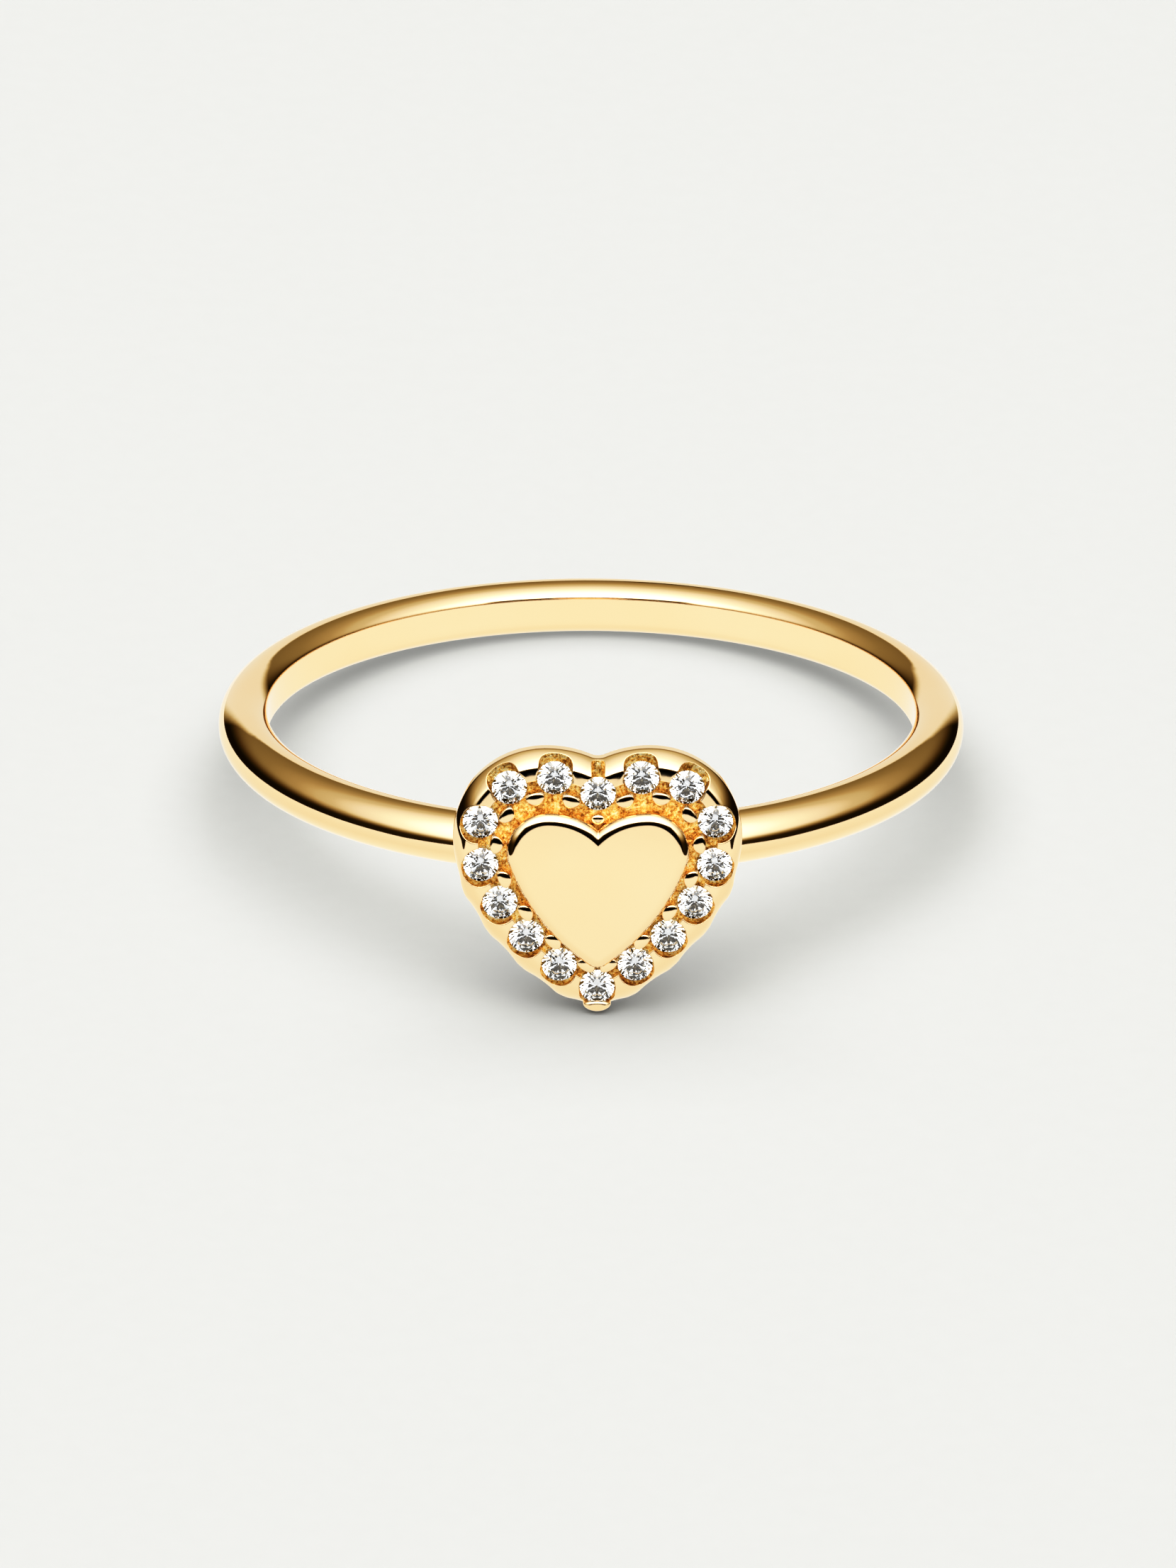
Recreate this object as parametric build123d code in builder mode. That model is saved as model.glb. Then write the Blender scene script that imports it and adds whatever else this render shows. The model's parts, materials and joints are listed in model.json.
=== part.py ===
from build123d import *
from math import asin, atan, atan2, cos, degrees, hypot, radians, sin
import os

# Heart ring: a round band that carries a heart-shaped head. The head is a plate with a rounded shoulder,
# sixteen round brilliants in scalloped seats along its rim, and a raised, polished heart in the middle.
# Lengths are in millimetres, angles in degrees. The ring lies on its side on the plane z = 0, with the
# heart to the front (-Y). The heart's tip reaches below the band, so the ring rests on the tip and on
# the back of the band, and its front is a little raised.
os.makedirs("parts", exist_ok=True)

# Band
finger_radius = 8.65
band_thickness = 1.30
bore_wall = 0.85
bore_edge_round = 0.06

# Line of the stones' centres, seen from the front
stone_line_width = 6.28
stone_line_height = 5.80
stone_line_lobe_share = 0.286
stone_line_cleft_share = 0.077
side_lean = 20

# Stones
stone_diameter = 0.92
stone_pitch = 1.19
table_share = 0.57
crown_share = 0.15
girdle_share = 0.03
pavilion_share = 0.43
star_share = 0.50
lower_facet_share = 0.75
stone_clearance = 0.03

# Plate that holds the stones; heights are measured from the plane through the stones' girdles
girdle_stand_off = 1.89
rim_reach = 0.66
rim_height = 0.12
plate_depth = 0.72
shoulder_round = 0.46
back_round = 0.12
cleft_round = 0.45
tip_round = 0.75
seat_radius = 0.49
seat_ledge = 0.16
rim_inset = 0.04
recess_depth = 0.12

# Prongs, beads and the notch behind the stone in the cleft
prong_inset = 0.30
prong_height = 0.22
prong_round = 0.05
tip_bead_radius = 0.26
tip_bead_drop = 0.70
tip_bead_round = 0.20
cleft_bead_radius = 0.16
cleft_bead_drop = 0.66
notch_width = 0.32
notch_depth = 0.30

# Raised heart in the middle
centre_side_gap = 0.77
centre_top_gap = 0.97
centre_tip_gap = 0.56
centre_lobe_share = 0.228
centre_cleft_share = 0.112
centre_face_height = 0.50
centre_edge_round = 0.26
centre_tip_round = 0.35

# Neck between the plate and the band: its width and height as shares of the stone line's, and how far
# along the way from the plate to the band each section stands
neck_sink = 0.45
neck_sections = (
    # width, height, way
    (0.88, 0.80, 0.0),
    (0.78, 0.50, 0.4),
    (0.80, 0.21, 1.0),
)

# Worked out from the above
band_round = (band_thickness**2 + (bore_wall / 2) ** 2) / (2 * band_thickness)
band_outer_radius = finger_radius + band_thickness
girdle_distance = band_outer_radius + girdle_stand_off
stone_radius = stone_diameter / 2
crown_height = stone_diameter * crown_share
girdle_height = stone_diameter * girdle_share
pavilion_depth = stone_diameter * pavilion_share
stone_line_top = stone_line_height / 2
stone_line_tip = -stone_line_height / 2


def heart_half(width, top, tip, lobe_share, cleft_share):
    """The right half of a heart: brow from lobe to cleft, lobe, and side down to the tip."""
    lobe_radius = width * lobe_share
    lobe_x = width / 2 - lobe_radius
    cleft = top - (top - tip) * cleft_share
    brow = TangentArc((lobe_x, top), (0, cleft), tangent=(-1, 0))
    lobe = CenterArc((lobe_x, top - lobe_radius), lobe_radius, 90, -90 - side_lean)
    side = TangentArc(lobe @ 1, (0, tip), tangent=lobe % 1)
    return brow, lobe, side


# Stones evenly spaced over brow and lobe, and evenly spaced down the side
with BuildLine() as stone_line:
    brow, lobe, side = heart_half(
        stone_line_width, stone_line_top, stone_line_tip, stone_line_lobe_share, stone_line_cleft_share
    )

upper_length = brow.length + lobe.length
upper_steps = round(upper_length / stone_pitch)
side_steps = round(side.length / stone_pitch)


def upper_point(distance):
    """The point at this distance from the cleft, over the brow and the lobe."""
    if distance < brow.length:
        return brow @ (1 - distance / brow.length)
    return lobe @ ((distance - brow.length) / lobe.length)


right_seats = [upper_point(upper_length * step / upper_steps) for step in range(upper_steps)]
right_seats += [side @ (step / side_steps) for step in range(side_steps + 1)]
left_seats = [Vector(-seat.X, seat.Y) for seat in right_seats[-2:0:-1]]
seat_points = right_seats + left_seats


def outward(before, after):
    """The direction out of the heart, square to the line between two points of its clockwise outline."""
    run = (after - before).normalized()
    return Vector(-run.Y, run.X)


seat_places = []
prong_places = []
for number, point in enumerate(seat_points):
    before = seat_points[number - 1]
    after = seat_points[(number + 1) % len(seat_points)]
    facing = outward(before, after)
    seat_places.append(Location((point.X, point.Y, 0), (0, 0, degrees(atan2(facing.Y, facing.X)))))
    prong = (point + after) / 2 - outward(point, after) * prong_inset
    prong_places.append((prong, (prong - point).length - stone_radius - stone_clearance))

# Outlines, drawn flat
with BuildSketch() as stone_heart:
    with BuildLine():
        add(stone_line.line)
        mirror(about=Plane.YZ)
    make_face()

with BuildSketch() as plate_outline:
    add(stone_heart.sketch)
    offset(amount=rim_reach, kind=Kind.INTERSECTION)
    cleft_corner = plate_outline.vertices().sort_by(lambda corner: abs(corner.X))[:2].sort_by(Axis.Y)[-1]
    fillet(cleft_corner, cleft_round)
    fillet(plate_outline.vertices().sort_by(Axis.Y)[0], tip_round)

with BuildSketch() as recess_outline:
    add(stone_heart.sketch)
    offset(amount=-rim_inset, kind=Kind.ARC)

with BuildSketch() as centre_outline:
    with BuildLine():
        heart_half(
            stone_line_width - 2 * centre_side_gap,
            stone_line_top - centre_top_gap,
            stone_line_tip + centre_tip_gap,
            centre_lobe_share,
            centre_cleft_share,
        )
        mirror(about=Plane.YZ)
    make_face()
    fillet(centre_outline.vertices().sort_by(Axis.Y)[0], centre_tip_round)

# How the ring rests: the circle of the band's back and the round of the tip's back edge, both in the
# ring's plane of symmetry, share a tangent, and that tangent is laid level
tip_bottom = stone_line_tip - tip_bead_drop
foot_forward = girdle_distance - plate_depth + back_round
foot_down = -tip_bottom - back_round
back_reach = band_outer_radius - band_round
foot_span = foot_forward + back_reach
lay_angle = asin((back_round - band_round) / hypot(foot_span, foot_down)) + atan2(foot_down, foot_span)
front_forward = girdle_distance + centre_face_height - centre_edge_round
front_down = -centre_outline.sketch.bounding_box().min.Y - centre_edge_round
front_reach = front_forward * cos(lay_angle) + front_down * sin(lay_angle) + centre_edge_round
rear_reach = back_reach * cos(lay_angle) + band_round
ring_centre = (0, (front_reach - rear_reach) / 2, back_reach * sin(lay_angle) + band_round)

ring_plane = Plane(ring_centre, x_dir=(1, 0, 0), z_dir=(0, sin(lay_angle), cos(lay_angle)))
heart_plane = Plane(ring_centre, x_dir=(1, 0, 0), z_dir=-ring_plane.y_dir).offset(girdle_distance)
section_plane = Plane(ring_centre, x_dir=ring_plane.y_dir, z_dir=(1, 0, 0))
front_axis = Axis(heart_plane.origin, heart_plane.z_dir)
seats = [heart_plane.location * place for place in seat_places]
tip_seat = seats[len(right_seats) - 1]


def facet_plane(azimuth, radius, height, slope, upward):
    """The plane of a facet that faces this azimuth, crosses this radius and height and has this slope."""
    turn = radians(azimuth)
    lean = atan(slope)
    normal = (sin(lean) * cos(turn), sin(lean) * sin(turn), upward * cos(lean))
    return Plane((radius * cos(turn), radius * sin(turn), height), z_dir=normal)


# Round brilliant: table, 8 stars, 8 kites and 16 upper facets, 16 sides on the girdle, 16 lower facets
# and 8 pavilion mains. Kites and mains face multiples of 45 degrees, with a corner of the girdle below.
eighth = 45
sixteenth = eighth / 2
half_turn = radians(sixteenth)
edge_share = cos(half_turn / 2)
girdle_top = girdle_height / 2
table_height = girdle_top + crown_height
table_edge = stone_radius * table_share * cos(half_turn)
kite_slope = crown_height / (stone_radius * (1 - table_share))
star_tip = table_edge + (stone_radius - table_edge) * star_share
star_tip_height = girdle_top + (stone_radius - star_tip * cos(half_turn)) * kite_slope
star_slope = (table_height - star_tip_height) / (star_tip - table_edge)
upper_slope = (star_tip_height - girdle_top) / ((stone_radius - star_tip) * edge_share)
main_slope = pavilion_depth / stone_radius
lower_tip = stone_radius * (1 - lower_facet_share)
lower_tip_rise = pavilion_depth - main_slope * lower_tip * cos(half_turn)
lower_slope = lower_tip_rise / ((stone_radius - lower_tip) * edge_share)

facets = []
for step in range(8):
    facets.append(facet_plane(step * eighth, stone_radius, girdle_top, kite_slope, 1))
    facets.append(facet_plane(step * eighth + sixteenth, table_edge, table_height, star_slope, 1))
    facets.append(facet_plane(step * eighth, stone_radius, -girdle_top, main_slope, -1))
for step in range(16):
    azimuth = (step + 0.5) * sixteenth
    facets.append(facet_plane(azimuth, stone_radius * edge_share, girdle_top, upper_slope, 1))
    facets.append(facet_plane(azimuth, stone_radius * edge_share, -girdle_top, lower_slope, -1))

with BuildPart() as cut_stone:
    with BuildSketch(Plane.XY.offset(table_height)):
        RegularPolygon(radius=stone_radius, side_count=16)
    extrude(amount=-2 * (table_height + pavilion_depth))
    for facet in facets:
        split(bisect_by=facet, keep=Keep.BOTTOM)

# Seat: a round hole with a ledge and a cone that clears the pavilion. All the seats but the one in the
# cleft are scallops, open to the outside.
cone_bottom = -girdle_top - pavilion_depth - stone_clearance * hypot(1, main_slope)
cone_radius = (-seat_ledge - cone_bottom) / main_slope
with BuildPart() as seat_cutter:
    with BuildSketch(Plane.XZ):
        with BuildLine():
            Polyline(
                (0, cone_bottom),
                (cone_radius, -seat_ledge),
                (seat_radius, -seat_ledge),
                (seat_radius, girdle_stand_off),
                (0, girdle_stand_off),
                close=True,
            )
        make_face()
    revolve(axis=Axis.Z)
with BuildPart() as scallop_cutter:
    add(seat_cutter.part)
    with BuildSketch(Plane.XY.offset(-seat_ledge)):
        Rectangle(2 * rim_reach, 2 * seat_radius, align=(Align.MIN, Align.CENTER))
    extrude(amount=girdle_stand_off)

# Bead that holds the lowest stone at the heart's tip, from the plate's back to the rim's height
with BuildPart() as tip_bead:
    with BuildSketch(heart_plane.offset(-plate_depth)):
        with Locations((0, tip_bottom + tip_bead_radius)):
            Circle(tip_bead_radius)
    extrude(amount=plate_depth + rim_height)
    fillet(tip_bead.edges().filter_by(GeomType.CIRCLE).sort_by(front_axis)[0], back_round)
    fillet(tip_bead.edges().filter_by(GeomType.CIRCLE).sort_by(front_axis)[-1], tip_bead_round)
    with Locations(tip_seat):
        add(seat_cutter.part, mode=Mode.SUBTRACT)


def prong_at(point, radius, height):
    """A round prong with a flat, softly rounded top, from under the recess floor up to this height."""
    with BuildPart() as prong:
        with BuildSketch(heart_plane.offset(height)):
            with Locations((point.X, point.Y)):
                Circle(radius)
        extrude(amount=-height - 2 * recess_depth)
        fillet(prong.edges().filter_by(GeomType.CIRCLE).sort_by(front_axis)[-1], prong_round)
    return prong.part


# Each prong on the heart's inner side holds two stones; a lower bead stands below the cleft's stone
prongs = [prong_at(point, radius, prong_height) for point, radius in prong_places]
cleft_bead = prong_at(right_seats[0] - Vector(0, cleft_bead_drop), cleft_bead_radius, rim_height)

# Metal: plate, beads, prongs, raised heart, neck and band are cast and soldered as one
with BuildPart() as ring_body:
    with BuildSketch(heart_plane.offset(-plate_depth)):
        add(plate_outline.sketch)
    extrude(amount=plate_depth + rim_height)
    fillet(ring_body.edges().group_by(front_axis)[-1], shoulder_round)
    fillet(ring_body.edges().group_by(front_axis)[0], back_round)

    # Recess inside the rim, notch behind the cleft's stone, and the stones' seats
    with BuildSketch(heart_plane.offset(-recess_depth)):
        add(recess_outline.sketch)
    extrude(amount=girdle_stand_off, mode=Mode.SUBTRACT)
    with BuildSketch(heart_plane.offset(-notch_depth)):
        with Locations((0, right_seats[0].Y)):
            Rectangle(notch_width, stone_line_height, align=(Align.CENTER, Align.MIN))
    extrude(amount=girdle_stand_off, mode=Mode.SUBTRACT)
    with Locations(seats[0]):
        add(seat_cutter.part, mode=Mode.SUBTRACT)
    with Locations(*seats[1:]):
        add(scallop_cutter.part, mode=Mode.SUBTRACT)
    add(tip_bead.part)

    # Raised heart
    with BuildSketch(heart_plane.offset(-2 * recess_depth)):
        add(centre_outline.sketch)
    extrude(amount=2 * recess_depth + centre_face_height)
    fillet(ring_body.faces().sort_by(front_axis)[-1].edges(), centre_edge_round)

    # Neck from the plate's back into the band
    neck_start = back_round - plate_depth
    neck_length = girdle_stand_off + neck_start + neck_sink
    for width_share, height_share, way in neck_sections:
        with BuildSketch(heart_plane.offset(neck_start - neck_length * way)):
            Ellipse(stone_line_width * width_share / 2, stone_line_height * height_share / 2)
    loft()

    # Band, flat towards the finger and round outside
    with BuildSketch(section_plane) as band_section:
        with BuildLine():
            ThreePointArc(
                (finger_radius, -bore_wall / 2), (band_outer_radius, 0), (finger_radius, bore_wall / 2)
            )
            Line((finger_radius, bore_wall / 2), (finger_radius, -bore_wall / 2))
        make_face()
        fillet(band_section.vertices(), bore_edge_round)
    revolve(axis=Axis(ring_centre, ring_plane.z_dir))
    add(prongs)
    add(cleft_bead)

ring_body.part.label = "ring_body"
export_step(ring_body.part, "parts/ring_body.step")

for number, seat in enumerate(seats, 1):
    with BuildPart() as stone:
        with Locations(seat):
            add(cut_stone.part)
    stone.part.label = f"stone_{number:02d}"
    export_step(stone.part, f"parts/{stone.part.label}.step")
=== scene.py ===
# %% [markdown]
# # A heart ring, dressed for its portrait
#
# The ring is cast in yellow gold. A thin round band carries a heart-shaped head: a plate with a rounded
# shoulder, sixteen small brilliants set along its rim, and a raised, mirror-polished heart in the middle.
# The construction model gives the sizes and where everything lies. This lesson adds the finishes, the
# light and the finer metalwork, and never moves the construction model.

import json
from math import acos, atan2, copysign, cos, degrees, pi, radians, sin, sqrt

import bmesh
import bpy
from mathutils import Matrix, Vector, noise


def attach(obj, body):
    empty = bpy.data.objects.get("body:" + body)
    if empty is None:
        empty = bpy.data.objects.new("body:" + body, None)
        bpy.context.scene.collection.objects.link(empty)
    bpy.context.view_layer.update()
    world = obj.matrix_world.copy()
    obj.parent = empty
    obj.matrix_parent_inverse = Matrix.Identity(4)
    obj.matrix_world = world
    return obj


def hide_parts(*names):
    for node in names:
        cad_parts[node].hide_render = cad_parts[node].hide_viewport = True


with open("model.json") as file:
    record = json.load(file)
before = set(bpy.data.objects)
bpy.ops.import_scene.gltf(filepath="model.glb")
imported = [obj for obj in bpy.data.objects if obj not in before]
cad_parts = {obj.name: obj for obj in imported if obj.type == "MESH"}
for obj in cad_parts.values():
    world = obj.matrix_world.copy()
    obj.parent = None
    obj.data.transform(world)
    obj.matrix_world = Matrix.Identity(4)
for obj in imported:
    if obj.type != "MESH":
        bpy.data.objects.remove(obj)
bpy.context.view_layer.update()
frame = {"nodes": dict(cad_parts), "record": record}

# %% [markdown]
# ## Two drawing boards
#
# A goldsmith thinks of a ring in two views: the band as a circle seen from above, and the head as a heart
# seen from the front. Both are drawn flat here, in millimetres, and then stood in place. The ring lies
# tipped on its side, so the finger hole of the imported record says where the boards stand.

# %% Stand the drawing boards in place
millimetre = 0.001
finger_hole = frame["record"]["mounts"][0]
finger_radius = finger_hole["dims"]["r_mm"]
band_thickness = 1.30
bore_wall = 0.85
girdle_stand_off = 1.89
band_outer_radius = finger_radius + band_thickness
girdle_distance = band_outer_radius + girdle_stand_off

ring_centre = Vector(finger_hole["pos_m"])
ring_axis = Vector(finger_hole["axis"]).normalized()
across = Vector((1, 0, 0))
backward = ring_axis.cross(across)


def board(origin, right, up, towards):
    """The placing of a board drawn in millimetres, by its origin and its three directions."""
    place = Matrix((right, up, towards)).transposed().to_4x4()
    place.translation = origin
    return place @ Matrix.Scale(millimetre, 4)


band_board = board(ring_centre, across, backward, ring_axis)
heart_origin = ring_centre - backward * girdle_distance * millimetre
heart_board = board(heart_origin, across, ring_axis, -backward)
print("heart board stands at", [round(value, 5) for value in heart_origin])

# %% [markdown]
# ## The camera
#
# The picture was taken from far away with a long lens, so the ring shows almost no perspective. The camera
# looks down on the ring by about twenty-one degrees from the plane of the band. Its place is given round
# the ring, as a photographer would, by two angles, a small roll and a distance.

# %% Set up the camera
camera_elevation = radians(20.6916)
camera_azimuth = radians(-0.9133)
camera_roll = radians(0.2903)
camera_distance = 373.0
camera_aim = Vector((-0.0740, 0.0, -1.7573))
lens_length = 320.0
sensor_size = 36.0

away = Vector(
    (
        sin(camera_azimuth) * cos(camera_elevation),
        -cos(camera_azimuth) * cos(camera_elevation),
        sin(camera_elevation),
    )
)
level_right = (-away).cross(Vector((0, 0, 1))).normalized()
level_up = level_right.cross(-away)
camera_right = cos(camera_roll) * level_right + sin(camera_roll) * level_up
camera_up = cos(camera_roll) * level_up - sin(camera_roll) * level_right

camera = bpy.data.objects.new("camera", bpy.data.cameras.new("camera"))
camera.data.lens = lens_length
camera.data.sensor_width = sensor_size
camera_turn = Matrix((camera_right, camera_up, away)).transposed().to_4x4()
camera_turn.translation = camera_aim + away * camera_distance
turn = (band_board @ camera_turn).to_quaternion()
camera.rotation_mode = "QUATERNION"
camera.rotation_quaternion = turn
camera.location = band_board @ camera_turn.translation
bpy.context.scene.collection.objects.link(camera)
bpy.context.scene.camera = camera
print("camera at", [round(value, 4) for value in camera.location])

# %% [markdown]
# ## Shader sums as plain Python
#
# A finish is a sum of noises, masks and ramps. Written with nodes it is long, so one small class stands
# for a socket: adding or multiplying it adds the Math node that does the sum. Every other kind of node
# comes from its one `node` method.

# %% Make the socket class
class Socket:
    """An output of a shader node. Sums written with it, such as 1 - mask, become Math nodes."""

    def __init__(self, tree, output):
        self.tree = tree
        self.output = output

    @classmethod
    def node(cls, tree, kind, settings=(), inputs=(), output=0):
        """Adds a node of this kind, sets it up, feeds its sockets and gives one of its outputs."""
        node = tree.nodes.new(kind)
        for name, value in dict(settings).items():
            if name == "stops":
                marks = node.color_ramp.elements
                while len(marks) < len(value):
                    marks.new(0.5)
                for stop, (position, colour) in zip(marks, value):
                    stop.position = position
                    stop.color = (*colour, 1)
            else:
                setattr(node, name, value)
        for name, value in dict(inputs).items():
            if isinstance(value, Socket):
                tree.links.new(value.output, node.inputs[name])
            else:
                node.inputs[name].default_value = value
        return cls(tree, node.outputs[output]) if node.outputs else None

    def math(self, operation, *values):
        """A Math node's output, with this socket and the others in order."""
        return Socket.sum(self.tree, operation, self, *values)

    @classmethod
    def sum(cls, tree, operation, *values):
        """A Math node's output from values in order, any of which may be a socket."""
        return cls.node(tree, "ShaderNodeMath", {"operation": operation}, enumerate(values))

    def __add__(self, other):
        return self.math("ADD", other)

    def __sub__(self, other):
        return self.math("SUBTRACT", other)

    def __rsub__(self, other):
        return Socket.sum(self.tree, "SUBTRACT", other, self)

    def __mul__(self, other):
        return self.math("MULTIPLY", other)

    def __truediv__(self, other):
        return self.math("DIVIDE", other)

    def __neg__(self):
        return self * -1

    __radd__ = __add__
    __rmul__ = __mul__


def ease(value, low, high):
    """A soft step: 0 below low, 1 above high."""
    inputs = {"Value": value, "From Min": low, "From Max": high}
    return Socket.node(value.tree, "ShaderNodeMapRange", {"interpolation_type": "SMOOTHSTEP"}, inputs)


def ramp(value, *stops):
    """A colour that follows a value between 0 and 1 through these stops."""
    return Socket.node(value.tree, "ShaderNodeValToRGB", {"stops": stops}, {0: value}, "Color")


print("helpers for shader sums:", Socket.__name__, ease.__name__, ramp.__name__)

# %% [markdown]
# ## Light
#
# Polished gold has hardly any colour of its own: it shows the studio. The studio here is a painted dome.
# A large soft lamp hangs in front and above, the room behind is dim and warm, and a dark band lies round
# the horizon. The dark band draws the thin black lines that give the metal its edges, and the dark place
# in front, where the camera and the photographer stand, gives the stones their black flashes. A pale
# backdrop stands low at the back. Dim parts of the dome are warmer than bright ones.

# %% Paint the studio dome
world = bpy.data.worlds.new("studio")
bpy.context.scene.world = world
world.use_nodes = True
sky = world.node_tree
sky.nodes.clear()
direction = Socket.node(sky, "ShaderNodeTexCoord", output="Generated")
right, back, up = [
    Socket.node(sky, "ShaderNodeSeparateXYZ", inputs={0: direction}, output=axis) for axis in range(3)
]
lamp_side = (up - back) * sqrt(0.5)
lowest_side, side_span = -0.5, 1.5
brightest = 2.5
dome_shades = (
    # how far towards the lamp, brightness
    (-0.50, 0.25),
    (-0.185, 0.34),
    (0.015, 0.45),
    (0.144, 0.575),
    (0.248, 0.62),
    (0.315, 0.715),
    (0.46, 0.87),
    (0.60, 1.05),
    (0.75, 1.45),
    (1.00, 2.5),
)
stops = [((side - lowest_side) / side_span, [shade / brightest] * 3) for side, shade in dome_shades]
dome = ramp((lamp_side - lowest_side) / side_span, *stops)

darkest_horizon = 0.07
horizon_heights = (-0.05, 0.36)  # where the dark band ends below, and where the dome is fully lit
horizon = darkest_horizon + (1 - darkest_horizon) * ease(up, *horizon_heights)

darkest_front = 0.02
front_sides = (0.62, 0.90)  # sideways for each step forwards: dark up to the first, lit from the second
front_heights = (0.38, 0.48)
least_forward = 0.01
sideways = right.math("ABSOLUTE") / (-back).math("MAXIMUM", least_forward)
beside_front = ease(sideways, *front_sides).math("MAXIMUM", ease(up, *front_heights))
front = darkest_front + (1 - darkest_front) * beside_front

backdrop_brightness = 0.78
backdrop_edge = (0.86, 0.94)
backdrop_heights = (0.30, 0.36)
backdrop = backdrop_brightness * ease(back, *backdrop_edge) * (1 - ease(up, *backdrop_heights))

strength = (brightest * dome * horizon * front).math("MAXIMUM", backdrop)
tints = (
    # brightness, colour
    (0.10, (1.0, 0.62, 0.15)),
    (0.20, (1.0, 0.74, 0.30)),
    (0.29, (1.0, 0.82, 0.42)),
    (0.43, (1.0, 0.866, 0.52)),
    (0.53, (1.0, 0.894, 0.61)),
    (0.59, (1.0, 0.956, 0.75)),
    (0.72, (1.0, 1.0, 0.90)),
    (0.80, (1.0, 1.0, 1.0)),
)
tint = ramp(strength, *tints)
background = Socket.node(sky, "ShaderNodeBackground", inputs={"Color": tint, "Strength": strength})
Socket.node(sky, "ShaderNodeOutputWorld", inputs={"Surface": background})
print("studio dome painted with", len(sky.nodes), "nodes")

# %% [markdown]
# The dome is only what the gold and the stones mirror. The matt table takes its light from three large soft
# panels: a wide one above, and a small one high on each side, so that both sides of the ring have a soft
# shadow. The metal doesn't mirror the panels, because the dome has its lamp painted already.

# %% Hang the soft panels
world.cycles_visibility.diffuse = False


def soft_panel(name, size, place, power, colour):
    """A square soft light at this place, turned to the ring."""
    light = bpy.data.lights.new(name, "AREA")
    light.size = size
    light.energy = power
    light.color = colour
    panel = bpy.data.objects.new(name, light)
    panel.location = place
    panel.rotation_mode = "QUATERNION"
    panel.rotation_quaternion = (-panel.location).to_track_quat("-Z", "Y")
    panel.visible_glossy = panel.visible_transmission = False
    bpy.context.scene.collection.objects.link(panel)


warm_white = (1.0, 1.0, 0.965)
cool_white = (0.99, 0.99, 1.0)
soft_panels = (
    # name, side and place in metres, power in watts, colour
    ("top_panel", 1.8, (0, 0, 1.0), 19.2, warm_white),
    ("left_panel", 0.6, (-0.35, -0.10, 0.9), 1.5, cool_white),
    ("right_panel", 0.6, (0.35, -0.10, 0.9), 0.6, cool_white),
)
for settings in soft_panels:
    soft_panel(*settings)
print("soft panels", [settings[0] for settings in soft_panels])

# %% [markdown]
# The photographer's picture has more contrast than plain light: dim reflections turn deep brown and
# bright ones run out to white. A gentle S-shaped curve over the finished picture does the same.

# %% Set the picture's contrast
grading = bpy.context.scene.view_settings
grading.view_transform = "Standard"
grading.use_curve_mapping = True
combined_curve = 3
contrast = grading.curve_mapping.curves[combined_curve]
contrast_points = ((0.10, 0.034), (0.25, 0.15), (0.50, 0.48), (0.75, 0.84), (0.9, 0.965))
for point in contrast_points:
    contrast.points.new(*point)
grading.curve_mapping.update()
print("contrast curve bent at", len(contrast_points), "points")

# %% [markdown]
# ## Floor
#
# The ring lies on a plain, matt, pale table. It is far larger than the picture, so that its edge never
# shows, and it isn't part of the ring.

# %% Lay the floor
floor_radius = 3.0
floor_mesh = bpy.data.meshes.new("floor")
sheet = bmesh.new()
bmesh.ops.create_circle(sheet, cap_ends=True, radius=floor_radius, segments=64)
sheet.to_mesh(floor_mesh)
sheet.free()
floor = bpy.data.objects.new("floor", floor_mesh)
bpy.context.scene.collection.objects.link(floor)


def new_finish(name, **constants):
    """A material with one Principled shader; constants set its sockets. Gives material, tree and shader."""
    finish = bpy.data.materials.new(name)
    finish.use_nodes = True
    tree = finish.node_tree
    shader = tree.nodes["Principled BSDF"]
    for socket, value in constants.items():
        shader.inputs[socket.replace("_", " ")].default_value = value
    return finish, tree, shader


def feed(tree, shader, **sockets):
    """Links varying values to a shader's sockets."""
    for name, value in sockets.items():
        tree.links.new(value.output, shader.inputs[name.replace("_", " ")])


def lumps(place, size, detail=2.0):
    """Noise with lumps of this size in millimetres."""
    inputs = {"Vector": place, "Scale": 1 / (size * millimetre), "Detail": detail}
    return Socket.node(place.tree, "ShaderNodeTexNoise", inputs=inputs)


paper, paper_tree, paper_shader = new_finish("pale_table", Roughness=0.9, Specular_IOR_Level=0.0)
paper_place = Socket.node(paper_tree, "ShaderNodeTexCoord", output="Object")
fibres = lumps(paper_place, 0.6, detail=5.0)
fibre_colours = (0.2, (0.692, 0.694, 0.688)), (0.8, (0.704, 0.706, 0.700))
paper_colour = ramp(fibres, *fibre_colours)
feed(paper_tree, paper_shader, Base_Color=paper_colour)
floor_mesh.materials.append(paper)
floor.visible_glossy = False
floor.visible_transmission = False
print("paper mixed with", len(paper_tree.nodes), "nodes")
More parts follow.
